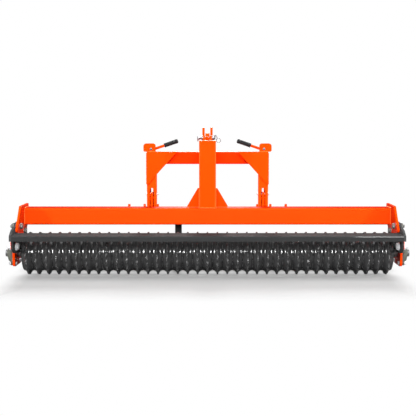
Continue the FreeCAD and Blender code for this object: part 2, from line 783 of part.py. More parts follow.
def stand_sleeve():
    """Square sleeve on the beam's front face with the boss of its clamp screw."""
    half = sleeve_size / 2
    section = ((stand_x - half, stand_x + half), (leg_y - half, leg_y + half))
    pipe = tube(section, sleeve_wall, sleeve_corner, in_xy(sleeve_bottom_z),
                FreeCAD.Vector(0, 0, sleeve_height))
    screw_z = sleeve_bottom_z + sleeve_height / 2
    face_y = leg_y + half
    boss = rod((stand_x, face_y, screw_z), (stand_x, face_y + clamp_boss_length, screw_z),
               clamp_boss_radius)
    hole = rod((stand_x, leg_y, screw_z), (stand_x, face_y + clamp_boss_length, screw_z),
               clamp_screw_radius)
    return [pipe.fuse(boss).cut(hole)]


def clamp_screw():
    """T-handled screw that presses on the leg."""
    screw_z = sleeve_bottom_z + sleeve_height / 2
    start_y = leg_y + leg_size / 2 + pin_fit
    end_y = start_y + clamp_screw_length
    screw = rod((stand_x, start_y, screw_z), (stand_x, end_y, screw_z), clamp_screw_radius)
    half = clamp_handle_length / 2
    handle = rod((stand_x - half, end_y - clamp_handle_radius, screw_z),
                 (stand_x + half, end_y - clamp_handle_radius, screw_z), clamp_handle_radius)
    return [screw.fuse(handle).removeSplitter()]


def stand_leg():
    half = leg_size / 2
    section = ((stand_x - half, stand_x + half), (leg_y - half, leg_y + half))
    return [tube(section, leg_wall, leg_corner, in_xy(foot_thickness),
                 FreeCAD.Vector(0, 0, leg_length))]


def stand_foot():
    section = rectangle((stand_x - foot_width / 2, stand_x + foot_width / 2),
                        (leg_y - foot_depth / 2, leg_y + foot_depth / 2), foot_corner)
    return [rounded_face(section, in_xy(0)).extrude(FreeCAD.Vector(0, 0, foot_thickness))]


def export(name, shapes):
    """Writes the solids of one node, moved so that the origin is under the middle of the machine."""
    shift = FreeCAD.Vector(0, -origin_y, 0)
    moved = [shape.translated(shift) for shape in shapes]
    solids = [solid for shape in moved for solid in shape.Solids]
    whole = solids[0] if len(solids) == 1 else Part.makeCompound(solids)
    whole.exportStep(f"parts/{name}.step")
    box = whole.BoundBox
    print(f"{name:22s} {len(solids):3d} {whole.Volume / 1e3:9.1f} cm3  "
          f"x {box.XMin:8.1f} {box.XMax:8.1f}  y {box.YMin:7.1f} {box.YMax:7.1f}  "
          f"z {box.ZMin:6.1f} {box.ZMax:6.1f}")


def export_pair(name, shapes):
    """Writes the +X end's solids as the right-hand node and their mirror as the left-hand one."""
    export(f"{name}_right", shapes)
    export(f"{name}_left", [mirrored(shape) for shape in shapes])


def export_both(name, shapes):
    """Writes the +X end's solids and their mirror as one node."""
    export(name, [mirrored(shape) for shape in shapes] + shapes)


os.makedirs("parts", exist_ok=True)

single_nodes = {
    "packer_wheels": packer_wheels, "axle": axle, "end_collars": end_collars,
    "main_beam": main_beam, "rear_bar": rear_bar, "mast": mast, "mast_ears": mast_ears,
    "top_pin": top_pin, "hitch_top_bar": hitch_top_bar, "hitch_top_hook": top_hook,
    "hitch_link_ears": link_ears, "stand_sleeve": stand_sleeve, "stand_clamp_screw": clamp_screw,
    "stand_leg": stand_leg, "stand_foot": stand_foot,
}
for node, build in single_nodes.items():
    export(node, build())

paired_nodes = {
    "end_arm": end_arm, "end_plate": end_plate, "bearing_hanger": bearing_hanger,
    "flange_bearing": flange_bearing, "mast_gusset": mast_gusset, "lower_pin": lower_pin,
    "hitch_upright": hitch_upright, "hitch_hook": hitch_hook, "hitch_corner_gusset": corner_gusset,
    "hitch_stud_plate": stud_plate, "hitch_link_stud": link_stud, "hitch_lever": hitch_lever,
    "lever_grip": lever_grip,
}
for node, build in paired_nodes.items():
    export_pair(node, [build()])
export_pair("lower_bracket", lower_bracket())
export_pair("lever_cheeks", lever_cheeks())
export_both("lever_pivots", [lever_pivot()])

for node, bolts in zip(("arm_bolts", "hanger_bolts", "bearing_bolts"), end_bolts()):
    export_both(node, bolts)
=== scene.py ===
import json
import math

import bmesh
import bpy
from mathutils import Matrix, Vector


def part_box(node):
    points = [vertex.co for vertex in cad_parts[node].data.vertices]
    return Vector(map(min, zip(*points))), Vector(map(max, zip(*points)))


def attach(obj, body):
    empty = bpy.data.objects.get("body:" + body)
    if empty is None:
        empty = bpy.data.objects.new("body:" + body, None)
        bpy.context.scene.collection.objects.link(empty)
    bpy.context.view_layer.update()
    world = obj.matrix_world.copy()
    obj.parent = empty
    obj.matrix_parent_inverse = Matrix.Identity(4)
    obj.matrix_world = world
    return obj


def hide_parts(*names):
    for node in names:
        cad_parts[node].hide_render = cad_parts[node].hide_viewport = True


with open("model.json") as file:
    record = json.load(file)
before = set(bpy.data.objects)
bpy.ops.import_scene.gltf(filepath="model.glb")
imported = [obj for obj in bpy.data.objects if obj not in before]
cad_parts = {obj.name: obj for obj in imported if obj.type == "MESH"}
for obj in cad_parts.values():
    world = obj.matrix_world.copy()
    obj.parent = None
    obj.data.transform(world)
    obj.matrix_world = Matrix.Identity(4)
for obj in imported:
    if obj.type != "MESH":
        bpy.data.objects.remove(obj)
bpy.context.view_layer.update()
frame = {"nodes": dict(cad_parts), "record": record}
nodes = frame["nodes"]
leftRight = ((-1, "left"), (1, "right"))    # sign of X, and name
print("frame loaded:", len(nodes), "nodes")


# Helpers for places, angles, objects and node trees

def centre(nodeName):
    # Middle of a CAD node's box
    low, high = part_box(nodeName)
    return (low + high) / 2


def anglesBetween(first, last, count):
    # Evenly spaced angles in radians; the first and last are given in degrees
    return [math.radians(first + (last - first) * n / (count - 1)) for n in range(count)]


def newObject(name, data):
    made = bpy.data.objects.new(name, data)
    bpy.context.scene.collection.objects.link(made)
    return made


def newNode(tree, kind, settings=None, values=None):
    # Sockets go by name, or by place where a name repeats: a Mix node has its two values
    # at 2 and 3, or its two colours at 6 and 7 and their mix at 2
    node = tree.nodes.new(kind)
    for key, value in (settings or {}).items():
        setattr(node, key, value)
    for key, value in (values or {}).items():
        node.inputs[key].default_value = value
    return node


def emptyTree(owner):
    owner.use_nodes = True
    owner.node_tree.nodes.clear()
    return owner.node_tree


def newMath(tree, operation, values=None):
    return newNode(tree, "ShaderNodeMath", {"operation": operation}, values)


def newRamp(tree, entry, result=(0.0, 1.0), interpolation="SMOOTHSTEP"):
    # Turns the range of the entry into the range of the result, and holds the value beyond it
    return newNode(tree, "ShaderNodeMapRange", {"interpolation_type": interpolation},
                   {"From Min": entry[0], "From Max": entry[1],
                    "To Min": result[0], "To Max": result[1]})


def newTree(name, kind, inputs, outputs):
    # A node group, with its inputs and outputs given as {label: kind of socket}
    tree = bpy.data.node_groups.new(name, kind)
    for direction, sockets in (("INPUT", inputs), ("OUTPUT", outputs)):
        for label, value in sockets.items():
            tree.interface.new_socket(label, in_out=direction, socket_type="NodeSocket" + value)
    return tree, newNode(tree, "NodeGroupInput"), newNode(tree, "NodeGroupOutput")


def join(tree, *links):
    # Each link is a node and its output, then a node and its input
    for source, output, target, entry in links:
        tree.links.new(source.outputs[output], target.inputs[entry])


# Camera, floor and light

studio = {
    "cameraPlace": (0.0, -4.653, 0.885),
    "cameraPitch": 3.0,          # degrees below the horizon
    "lens": 68.30,               # millimetres on a 36 mm sensor
    "shift": (0.0012, -0.1052),
    "aim": (0.0, 0.0, 0.35),     # what the softboxes point at
    "softboxes": [               # azimuth from behind the machine, elevation, distance, size, watts
        ("keyLeft", -57.0, 11.8, 13.0, (0.84, 1.5), 1150.0),
        ("keyRight", 55.0, 11.8, 13.0, (0.84, 1.5), 900.0),
        ("sideRight", 76.0, 28.0, 5.6, (0.5, 0.8), 90.0),
        ("rear", 0.0, 45.0, 5.5, (4.2, 1.6), 335.0),
        ("low", 0.0, 9.0, 5.8, (5.8, 0.9), 60.0),
        ("overhead", 0.0, 80.0, 5.0, (4.5, 3.0), 110.0),
        ("front", 180.0, 41.0, 6.0, (1.0, 4.0), 570.0),
    ],
    "worldRise": (-0.1, 1.0),    # height of a unit direction, low down and overhead
    "worldLight": (0.30, 0.60),  # strength of the soft light at the two
    "worldMirrored": 0.12,       # share of it that shiny surfaces reflect
    "floorRadius": 40.0,
    "floorSides": 96,
    "floorSeen": 0.32,           # how pale the floor looks, by the light that falls on it
    "floorGlow": 0.01,           # how pale it stays in the deepest shade
    "floorLift": {"Y": -0.045, "reach": 0.12, "glow": 0.36},    # a glowing strip under the roller, painted light over its contact shadow
    "floorThrown": 0.25,         # how much light it throws back at the machine
    "floorMirrored": 0.10,       # how pale it is in the machine's shiny surfaces
    "floorFade": {               # middle, and the distances from it over which it turns plain white
        "X": (0.0, 1.00, 1.17),
        "Y": (-0.15, 0.33, 0.70)},
}


def makeCamera():
    data = bpy.data.cameras.new("camera")
    data.lens = studio["lens"]
    data.shift_x, data.shift_y = studio["shift"]
    camera = newObject("camera", data)
    camera.location = studio["cameraPlace"]
    camera.rotation_euler = (math.radians(90 - studio["cameraPitch"]), 0, 0)
    bpy.context.scene.camera = camera


def makeSoftboxes():
    aim = Vector(studio["aim"])
    for name, azimuth, elevation, distance, size, watts in studio["softboxes"]:
        turn, rise = math.radians(azimuth), math.radians(elevation)
        out = Vector((math.sin(turn) * math.cos(rise), -math.cos(turn) * math.cos(rise),
                      math.sin(rise)))
        data = bpy.data.lights.new(name, "AREA")
        data.shape = "RECTANGLE"
        data.size, data.size_y = size
        data.energy = watts
        lamp = newObject(name, data)
        lamp.location = aim + out * distance
        lamp.rotation_euler = out.to_track_quat("Z", "Y").to_euler()


def makeWorld():
    # Soft light from all round, dimmer in shiny surfaces, and plain white where it is looked at
    world = bpy.data.worlds.new("studio")
    bpy.context.scene.world = world
    tree = emptyTree(world)
    direction = newNode(tree, "ShaderNodeTexCoord")
    split = newNode(tree, "ShaderNodeSeparateXYZ")
    light = newRamp(tree, studio["worldRise"], studio["worldLight"], "LINEAR")
    path = newNode(tree, "ShaderNodeLightPath")
    mirrored = newRamp(tree, (0.0, 1.0), (1.0, studio["worldMirrored"]), "LINEAR")
    dimmed = newMath(tree, "MULTIPLY")
    strength = newNode(tree, "ShaderNodeMix", None, {3: 1.0})
    back = newNode(tree, "ShaderNodeBackground", None, {"Color": (1, 1, 1, 1)})
    out = newNode(tree, "ShaderNodeOutputWorld")
    join(tree,
         (direction, "Generated", split, 0),
         (split, "Z", light, "Value"),
         (path, "Is Glossy Ray", mirrored, "Value"),
         (light, "Result", dimmed, 0),
         (mirrored, "Result", dimmed, 1),
         (path, "Is Camera Ray", strength, 0),
         (dimmed, 0, strength, 2),
         (strength, 0, back, "Strength"),
         (back, 0, out, "Surface"))


def makeFloorPaint():
    # What the camera sees turns from a shaded floor to plain white; the rest only throws light back
    paint = bpy.data.materials.new("floorPaint")
    tree = emptyTree(paint)
    place = newNode(tree, "ShaderNodeTexCoord")
    split = newNode(tree, "ShaderNodeSeparateXYZ")
    join(tree, (place, "Object", split, 0))

    def fade(axis, middle, entry, result=(0.0, 1.0)):
        # Smooth change with the distance from one line across the floor
        off = newMath(tree, "SUBTRACT", {1: middle})
        apart = newMath(tree, "ABSOLUTE")
        ramp = newRamp(tree, entry, result)
        join(tree, (split, axis, off, 0), (off, 0, apart, 0), (apart, 0, ramp, "Value"))
        return ramp

    # A glowing strip along the roller's contact line: painted light over the contact shadow
    lift = studio["floorLift"]
    lifted = fade("Y", lift["Y"], (0.0, lift["reach"]), (lift["glow"], studio["floorGlow"]))
    glow = newNode(tree, "ShaderNodeEmission")
    shaded = newNode(tree, "ShaderNodeBsdfDiffuse", None,
                     {"Color": (studio["floorSeen"],) * 3 + (1,)})
    near = newNode(tree, "ShaderNodeAddShader")
    far = newNode(tree, "ShaderNodeEmission")
    farther = newMath(tree, "MAXIMUM")
    for socket, (axis, (middle, start, end)) in enumerate(studio["floorFade"].items()):
        join(tree, (fade(axis, middle, (start, end)), "Result", farther, socket))
    seen = newNode(tree, "ShaderNodeMixShader")
    path = newNode(tree, "ShaderNodeLightPath")
    paleness = newRamp(tree, (0.0, 1.0), (studio["floorThrown"], studio["floorMirrored"]), "LINEAR")
    thrown = newNode(tree, "ShaderNodeBsdfDiffuse")
    choose = newNode(tree, "ShaderNodeMixShader")
    out = newNode(tree, "ShaderNodeOutputMaterial")
    join(tree,
         (lifted, "Result", glow, "Strength"),
         (shaded, 0, near, 0),
         (glow, 0, near, 1),
         (farther, 0, seen, 0),
         (near, 0, seen, 1),
         (far, 0, seen, 2),
         (path, "Is Glossy Ray", paleness, "Value"),
         (paleness, "Result", thrown, "Color"),
         (path, "Is Camera Ray", choose, 0),
         (thrown, 0, choose, 1),
         (seen, 0, choose, 2),
         (choose, 0, out, "Surface"))
    return paint


def makeFloor():
    mesh = bpy.data.meshes.new("floor")
    disc = bmesh.new()
    bmesh.ops.create_circle(disc, cap_ends=True, segments=studio["floorSides"],
                            radius=studio["floorRadius"])
    disc.to_mesh(mesh)
    disc.free()
    mesh.materials.append(makeFloorPaint())
    newObject("floor", mesh)


bpy.context.scene.view_settings.view_transform = "Standard"
makeCamera()
makeSoftboxes()
makeWorld()
makeFloor()
print("studio made")


# Shader node groups that the finishes share

surface = {
    "bevelSamples": 4,
    "wearAndSheenDetail": 4.0,
    "wearAndSheenWindow": (0.42, 0.62),  # range of the noise over which the edge colour, part wear and part painted highlight, goes from none to all
    "fineDetail": 2.0,
    "broadDetail": 3.0,
    "glossWindow": (0.3, 0.7),   # range of the broad noise that the two roughnesses span
}


def makeEdgeGroup():
    # Mask of a piece's outer edges, broken up by noise, and the rounded normal of the same edges
    group, start, end = newTree(
        "edgeMask", "ShaderNodeTree",
        {"Radius": "Float", "Sharpness": "Float", "Break Up": "Float", "Break Scale": "Float"},
        {"Mask": "Float", "Normal": "Vector"})
    rounded = newNode(group, "ShaderNodeBevel", {"samples": surface["bevelSamples"]})
    flat = newNode(group, "ShaderNodeNewGeometry")
    turn = newNode(group, "ShaderNodeVectorMath", {"operation": "DOT_PRODUCT"})
    away = newMath(group, "SUBTRACT", {0: 1.0})
    gain = newNode(group, "ShaderNodeMath", {"operation": "MULTIPLY", "use_clamp": True})
    place = newNode(group, "ShaderNodeTexCoord")
    speck = newNode(group, "ShaderNodeTexNoise", None, {"Detail": surface["wearAndSheenDetail"]})
    window = newRamp(group, surface["wearAndSheenWindow"])
    broken = newNode(group, "ShaderNodeMix", None, {2: 1.0})
    product = newMath(group, "MULTIPLY")
    join(group,
         (start, "Radius", rounded, "Radius"),
         (rounded, 0, turn, 0),
         (flat, "Normal", turn, 1),
         (turn, "Value", away, 1),
         (away, 0, gain, 0),
         (start, "Sharpness", gain, 1),
         (place, "Object", speck, "Vector"),
         (start, "Break Scale", speck, "Scale"),
         (speck, 0, window, "Value"),
         (start, "Break Up", broken, 0),
         (window, "Result", broken, 3),
         (gain, 0, product, 0),
         (broken, 0, product, 1),
         (product, 0, end, "Mask"),
         (rounded, 0, end, "Normal"))
    return group


def makeGrainGroup():
    # Broad unevenness of a coated or cast surface, and a height that has the fine grain in it too
    group, start, end = newTree(
        "surfaceGrain", "ShaderNodeTree",
        {"Fine Scale": "Float", "Broad Scale": "Float", "Fine Share": "Float"},
        {"Broad": "Float", "Height": "Float"})
    place = newNode(group, "ShaderNodeTexCoord")
    broad = newNode(group, "ShaderNodeTexNoise", None, {"Detail": surface["broadDetail"]})
    fine = newNode(group, "ShaderNodeTexNoise", None, {"Detail": surface["fineDetail"]})
    height = newNode(group, "ShaderNodeMix")
    join(group,
         (place, "Object", broad, "Vector"),
         (place, "Object", fine, "Vector"),
         (start, "Broad Scale", broad, "Scale"),
         (start, "Fine Scale", fine, "Scale"),
         (start, "Fine Share", height, 0),
         (broad, 0, height, 2),
         (fine, 0, height, 3),
         (broad, 0, end, "Broad"),
         (height, 0, end, "Height"))
    return group


edgeGroup = makeEdgeGroup()
grainGroup = makeGrainGroup()


# Finishes of the machine

def addPaintedLight(tree, under, shader, paintedLight):
    # Paints light or shade into a surface's colour: another colour over the parts that face one way
    face = newNode(tree, "ShaderNodeNewGeometry")
    toward = newNode(tree, "ShaderNodeVectorMath", {"operation": "DOT_PRODUCT"},
                     {1: paintedLight["toward"]})
    share = newRamp(tree, paintedLight["spread"])
    over = newNode(tree, "ShaderNodeMix", {"data_type": "RGBA"}, {7: paintedLight["colour"] + (1,)})
    if "bothSides" in paintedLight:
        unsigned = newNode(tree, "ShaderNodeVectorMath", {"operation": "ABSOLUTE"})
        join(tree, (face, "Normal", unsigned, 0), (unsigned, 0, toward, 0))
    else:
        join(tree, (face, "Normal", toward, 0))
    if "start" in paintedLight:
        place = newNode(tree, "ShaderNodeTexCoord")
        along = newNode(tree, "ShaderNodeSeparateXYZ")
        start = newRamp(tree, paintedLight["start"])
        join(tree,
             (place, "Object", along, 0),
             (along, "X", start, "Value"),
             (start, "Result", share, "To Max"))
    join(tree,
         (toward, "Value", share, "Value"),
         (share, "Result", over, 0),
         (under, 2, over, 6),
         (over, 2, shader, "Base Color"))


def makeFinish(name, look):
    material = bpy.data.materials.new(name)
    material.use_nodes = True
    tree = material.node_tree
    shader = tree.nodes["Principled BSDF"]
    for key, socket in (("metallic", "Metallic"), ("specular", "Specular IOR Level"),
                        ("tint", "Specular Tint"), ("coat", "Coat Weight"),
                        ("coatRoughness", "Coat Roughness")):
        if key in look:
            shader.inputs[socket].default_value = look[key]
    grain = newNode(tree, "ShaderNodeGroup", {"node_tree": grainGroup},
                    {"Fine Scale": look["fineScale"], "Broad Scale": look["broadScale"],
                     "Fine Share": look["fineShare"]})
    edge = newNode(tree, "ShaderNodeGroup", {"node_tree": edgeGroup},
                   {"Radius": look["edgeRadius"], "Sharpness": look["edgeSharpness"],
                    "Break Up": look["edgeBreakUp"], "Break Scale": look["edgeBreakScale"]})
    spread = newNode(tree, "ShaderNodeMix", {"data_type": "RGBA"},
                     {6: look["colour"] + (1,), 7: look["otherColour"] + (1,)})
    # Paler colour on the outer edges: partly wear, partly a painted highlight
    edgeWearAndSheen = newNode(tree, "ShaderNodeMix", {"data_type": "RGBA"}, {7: look["edgeColour"] + (1,)})
    gloss = newRamp(tree, surface["glossWindow"], look["roughness"], "LINEAR")
    bump = newNode(tree, "ShaderNodeBump", None,
                   {"Strength": look["bump"], "Distance": look["bumpDepth"]})
    join(tree,
         (grain, "Broad", spread, 0),
         (spread, 2, edgeWearAndSheen, 6),
         (edge, "Mask", edgeWearAndSheen, 0),
         (edgeWearAndSheen, 2, shader, "Base Color"),
         (grain, "Broad", gloss, "Value"),
         (gloss, "Result", shader, "Roughness"),
         (grain, "Height", bump, "Height"),
         (edge, "Normal", bump, "Normal"),
         (bump, 0, shader, "Normal"))
    if "paintedLight" in look:
        addPaintedLight(tree, edgeWearAndSheen, shader, look["paintedLight"])
    return material


finishes = {
    "orange_paint": {
        "colour": (0.90, 0.045, 0.0006), "otherColour": (0.93, 0.051, 0.0008),
        "roughness": (0.33, 0.41), "specular": 0.12, "tint": (1.0, 0.42, 0.10, 1),
        "fineScale": 900.0, "broadScale": 5.0, "fineShare": 0.5, "bump": 0.05, "bumpDepth": 0.0006,
        "edgeColour": (0.95, 0.11, 0.008), "edgeRadius": 0.0022, "edgeSharpness": 2.5,
        "edgeBreakUp": 0.4, "edgeBreakScale": 30.0},
    "dark_paint": {
        # A touch bluish, against the orange light that the beam throws on the dark parts: painted
        # light
        "colour": (0.0225, 0.0230, 0.0234), "otherColour": (0.0275, 0.0282, 0.0286),
        "roughness": (0.68, 0.78), "specular": 0.03,
        "fineScale": 700.0, "broadScale": 6.0, "fineShare": 0.6, "bump": 0.10, "bumpDepth": 0.0006,
        "edgeColour": (0.07, 0.07, 0.07), "edgeRadius": 0.002, "edgeSharpness": 3.0,
        "edgeBreakUp": 0.5, "edgeBreakScale": 40.0},
    "cast_wheels": {
        "colour": (0.028, 0.028, 0.0285), "otherColour": (0.044, 0.044, 0.0445),
        "roughness": (0.15, 0.21),
        "fineScale": 260.0, "broadScale": 25.0, "fineShare": 0.6, "bump": 0.06, "bumpDepth": 0.0006,
        # Pale, broken edges on the notches: partly wear, partly painted glints
        "edgeColour": (0.55, 0.55, 0.55), "edgeRadius": 0.0022, "edgeSharpness": 12.0,
        "edgeBreakUp": 1.0, "edgeBreakScale": 55.0},
    "bare_steel": {
        "colour": (0.42, 0.42, 0.42), "otherColour": (0.30, 0.30, 0.31),
        "roughness": (0.28, 0.42), "metallic": 1.0,
        "fineScale": 500.0, "broadScale": 20.0, "fineShare": 0.5, "bump": 0.05, "bumpDepth": 0.0005,
        "edgeColour": (0.6, 0.6, 0.6), "edgeRadius": 0.001, "edgeSharpness": 3.0,
        "edgeBreakUp": 0.5, "edgeBreakScale": 80.0},
    "zinc": {
        "colour": (0.72, 0.73, 0.75), "otherColour": (0.58, 0.59, 0.61),
        "roughness": (0.34, 0.46), "metallic": 0.35,
        "fineScale": 600.0, "broadScale": 60.0, "fineShare": 0.5, "bump": 0.05, "bumpDepth": 0.0004,
        "edgeColour": (0.88, 0.88, 0.88), "edgeRadius": 0.0008, "edgeSharpness": 3.0,
        "edgeBreakUp": 0.5, "edgeBreakScale": 100.0},
    "bearing_housing": {
        "colour": (0.085, 0.090, 0.070), "otherColour": (0.12, 0.125, 0.10),
        "roughness": (0.34, 0.48), "coat": 0.1, "coatRoughness": 0.1,
        "fineScale": 320.0, "broadScale": 24.0, "fineShare": 0.6, "bump": 0.35, "bumpDepth": 0.0008,
        "edgeColour": (0.26, 0.27, 0.23), "edgeRadius": 0.0018, "edgeSharpness": 3.0,
        "edgeBreakUp": 0.5, "edgeBreakScale": 60.0},
    "grip": {
        "colour": (0.011, 0.011, 0.012), "otherColour": (0.016, 0.016, 0.017),
        "roughness": (0.58, 0.70), "specular": 0.15,
        "fineScale": 900.0, "broadScale": 40.0, "fineShare": 0.7, "bump": 0.15, "bumpDepth": 0.0004,
        "edgeColour": (0.03, 0.03, 0.03), "edgeRadius": 0.001, "edgeSharpness": 2.0,
        "edgeBreakUp": 0.5, "edgeBreakScale": 60.0},
}
variants = {                     # each made from another finish, with the changes given
    # A darker copy of the orange for the top bar of the hitch: painted shade
    "deepOrange": ("orange_paint", {
        "colour": (0.87, 0.024, 0.0004), "otherColour": (0.89, 0.028, 0.0005)}),
    # Very dark orange for the strips deep in the slots: painted shade
    "slotShade": ("orange_paint", {
        "colour": (0.10, 0.004, 0.0004), "otherColour": (0.14, 0.006, 0.0005),
        "edgeColour": (0.14, 0.006, 0.0005)}),
    "weldPaint": ("orange_paint", {
        "colour": (0.93, 0.11, 0.018), "otherColour": (0.95, 0.15, 0.030)}),
    # The beam's top face is painted darker: painted shade
    "beamPaint": ("orange_paint", {
        "colour": (0.90, 0.046, 0.0022), "otherColour": (0.93, 0.052, 0.0026), "specular": 0.02,
        "paintedLight": {"toward": (0.0, -0.10, 0.995), "spread": (0.80, 0.97),
                   "colour": (0.36, 0.014, 0.0008)}}),
    # Paler colour on the tubes' rounded corners: a painted highlight
    "tubePaint": ("orange_paint", {
        "paintedLight": {"toward": (0.72, 0.69, 0.0), "bothSides": True, "spread": (0.93, 0.99),
                   "colour": (0.95, 0.11, 0.014)}}),
    # A paler copy of the orange for the uprights: painted light, with the painted corner highlight
    # of the tubes
    "uprightPaint": ("tubePaint", {
        "colour": (0.90, 0.052, 0.0012), "otherColour": (0.93, 0.059, 0.0016)}),
    # A pale line along the bar's upper rear edge, on its right end only: a painted highlight
    "barPaint": ("dark_paint", {
        "paintedLight": {"toward": (0.0, -0.82, 0.57), "spread": (0.88, 0.97), "start": (0.80, 0.86),
                   "colour": (0.17, 0.17, 0.17)}}),
    # A paler copy of the dark paint for the end plates: painted light
    "platePaint": ("dark_paint", {
        "colour": (0.036, 0.0365, 0.037), "otherColour": (0.046, 0.0465, 0.047)}),
    "darkZinc": ("zinc", {
        "colour": (0.30, 0.30, 0.31), "otherColour": (0.20, 0.20, 0.21),
        "edgeColour": (0.5, 0.5, 0.5), "metallic": 0.9}),
    # A paler copy of the zinc for the big bolts of the hangers, in shade under the bar: painted
    # light
    "brightZinc": ("zinc", {
        "colour": (0.92, 0.93, 0.95), "otherColour": (0.80, 0.81, 0.83),
        "metallic": 0.3, "roughness": (0.40, 0.50)}),
    # A darker copy of the zinc for the bolts of the arms: painted shade
    "dullZinc": ("zinc", {
        "colour": (0.22, 0.22, 0.21), "otherColour": (0.14, 0.14, 0.13),
        "edgeColour": (0.5, 0.5, 0.5), "metallic": 0.6}),
}
# The arms and bearing hangers are painted darker on their inner faces: painted shade
for side, name in leftRight:
    variants["armPaint." + name] = ("orange_paint", {
        "specular": 0.04,
        "paintedLight": {"toward": (-side, 0.0, 0.0), "spread": (0.70, 0.90),
                   "colour": (0.46, 0.019, 0.0004)}})
for name, (base, changes) in variants.items():
    finishes[name] = {**finishes[base], **changes}
materials = {name: makeFinish(name, look) for name, look in finishes.items()}

ownFinish = {"hitch_top_bar": "deepOrange", "rear_bar": "barPaint", "main_beam": "beamPaint",
             "mast": "tubePaint"}
for side, name in leftRight:
    ownFinish["hitch_upright_" + name] = "uprightPaint"
    ownFinish["end_plate_" + name] = "platePaint"
    ownFinish["end_arm_" + name] = "armPaint." + name
    ownFinish["bearing_hanger_" + name] = "armPaint." + name
for part in frame["record"]["subparts"]:
    mesh = nodes[part["node"]].data
    mesh.materials.clear()
    mesh.materials.append(materials[ownFinish.get(part["node"], part["material_slot"])])
print("finishes made:", len(materials))


# Helpers for meshes and Geometry Nodes

def meshObject(name, points, faces, material, smoothAngle=35.0):
    mesh = bpy.data.meshes.new(name)
    mesh.from_pydata(points, [], faces)
    mesh.update()
    mesh.shade_smooth()
    mesh.set_sharp_from_angle(angle=math.radians(smoothAngle))
    mesh.materials.append(material)
    return newObject(name, mesh)


def newGeometryTree(name, inputs):
    return newTree(name, "GeometryNodeTree", {"Geometry": "Geometry", **inputs},
                   {"Geometry": "Geometry"})


def finishGeometryTree(tree, start, end, placed):
    # Makes the placed instances real and gives them the tree's finish
    real = newNode(tree, "GeometryNodeRealizeInstances")
    paint = newNode(tree, "GeometryNodeSetMaterial")
    join(tree,
         (placed, "Instances", real, "Geometry"),
         (real, "Geometry", paint, "Geometry"),
         (start, "Finish", paint, "Material"),
         (paint, "Geometry", end, "Geometry"))


def runGeometryTree(piece, tree, values):
    # Runs the tree on the piece and keeps its result as a plain mesh
    modifier = piece.modifiers.new(tree.name, "NODES")
    modifier.node_group = tree
    for socket in tree.interface.items_tree:
        if socket.in_out == "INPUT" and socket.name in values:
            modifier[socket.identifier] = values[socket.name]
    seen = piece.evaluated_get(bpy.context.evaluated_depsgraph_get())
    mesh = bpy.data.meshes.new_from_object(seen)
    piece.modifiers.clear()
    piece.data = mesh


# Packer wheels: one notched cast wheel, repeated along the axle

wheel = {
    "count": 37,
    "pitch": 0.0577,
    "gap": 0.0004,
    "tipHalf": 0.004,            # half width of the ridge
    "tipRadius": 0.124,
    "tipCorner": (0.0004, 0.0007),
    "valleyRadius": 0.100,
    "rimCorner": 0.0006,
    "rimEdge": 0.0022,           # depth below the valley at which the side face starts
    "rimInner": 0.093,
    "rimFillet": 0.004,
    "webHalf": 0.005,
    "hubFillet": 0.003,
    "hubRadius": 0.032,
    "boreRadius": 0.0203,
    "notches": 16,
    "notchSteps": ((0.0, 0.0085), (0.12, 0.0068), (0.23, 0.0008), (0.50, 0.0),
                   (0.77, 0.0008), (0.88, 0.0068)),    # share of a notch's pitch, and depth there
    "notchFlat": 0.002,          # half width over which a notch keeps its depth
    "notchSlope": 0.25,          # how fast it deepens beyond that
    "flankAngles": (188, 204, 223, 243, 262),    # degrees round the centre of the flank's arc
    "smoothAngle": 58.0,
    "seed": 7,
}


def wheelProfile():
    # Half of the wheel's section, from the middle of the ridge to the bore
    # Each point is its distance along the axle and its radius
    half = wheel["pitch"] / 2 - wheel["gap"] / 2
    tip, top, low = wheel["tipHalf"], wheel["tipRadius"], wheel["valleyRadius"]
    reach, drop = wheel["pitch"] / 2 - tip, top - low
    arc = (reach ** 2 + drop ** 2) / (2 * drop)
    middle = (wheel["pitch"] / 2, low + arc)
    across, down = wheel["tipCorner"]
    section = [(0.0, top), (tip - across, top - down)]
    for angle in wheel["flankAngles"]:
        turn = math.radians(angle)
        section.append((middle[0] + arc * math.cos(turn), middle[1] + arc * math.sin(turn)))
    section += [(half - wheel["rimCorner"], low - wheel["rimCorner"]),
                (half, low - wheel["rimEdge"]),
                (half, wheel["rimInner"]),
                (wheel["webHalf"], wheel["rimInner"] - wheel["rimFillet"]),
                (wheel["webHalf"], wheel["hubRadius"] + wheel["hubFillet"]),
                (half, wheel["hubRadius"]),
                (half, wheel["boreRadius"])]
    return section


def makeWheelMesh():
    half = wheelProfile()
    section = [(-x, radius) for x, radius in reversed(half[1:])] + half
    pitch = 2 * math.pi / wheel["notches"]
    turns = [(n * pitch + share * pitch, depth) for n in range(wheel["notches"])
             for share, depth in wheel["notchSteps"]]
    points, faces = [], []
    for turn, depth in turns:
        for x, radius in section:
            beside = max(0.0, abs(x) - wheel["notchFlat"])
            r = min(radius, wheel["tipRadius"] - depth - wheel["notchSlope"] * beside)
            points.append((x, r * math.sin(turn), r * math.cos(turn)))
    across, around = len(section), len(turns)
    for i in range(around):
        row, nextRow = i * across, (i + 1) % around * across
        for j in range(across):
            k = (j + 1) % across
            faces.append((row + j, row + k, nextRow + k, nextRow + j))
    return meshObject("wheelPattern", points, faces, materials["cast_wheels"],
                      wheel["smoothAngle"])


